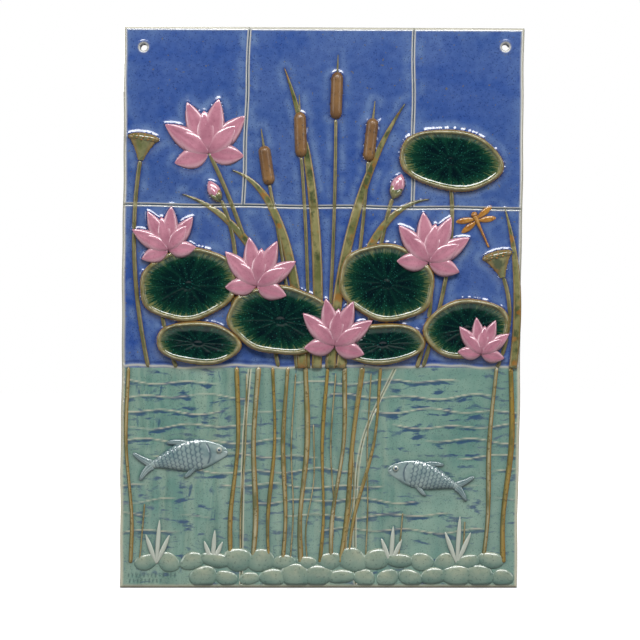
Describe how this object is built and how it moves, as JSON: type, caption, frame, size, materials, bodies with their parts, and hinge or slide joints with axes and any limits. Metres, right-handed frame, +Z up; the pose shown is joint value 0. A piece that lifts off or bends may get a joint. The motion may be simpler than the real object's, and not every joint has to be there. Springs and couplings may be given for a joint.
{
  "type": "ceramic wall relief",
  "caption": "Glazed stoneware wall plaque with a pond modelled in low relief, scored like tiles, hung by holes in its top corners.",
  "frame": {"origin": "on the flat back face, midway between the two hanging holes", "axes": "+X along the width, to the viewer's right; +Y out of the back, into the wall, so that the relief faces -Y; +Z up along the height"},
  "size_m": [0.4065, 0.0243, 0.562],
  "materials": {
    "blue_glaze": "glossy cobalt-blue stoneware glaze with fine dark specks, paler where it breaks over edges",
    "water_glaze": "glossy celadon grey-green glaze with short cobalt brush marks",
    "leaf_glaze": "pooled glossy bottle-green glaze that breaks to tan on the raised rims",
    "petal_glaze": "glossy rose-pink glaze, paler at the edges",
    "reed_glaze": "glossy olive and tan glaze with ochre edges",
    "gold_glaze": "glossy golden-brown glaze",
    "pale_glaze": "glossy clear glaze over pale clay with a silvery cast"
  },
  "bodies": {
    "root": {"relief_panel": "blue_glaze"}
  },
  "joints": []
}
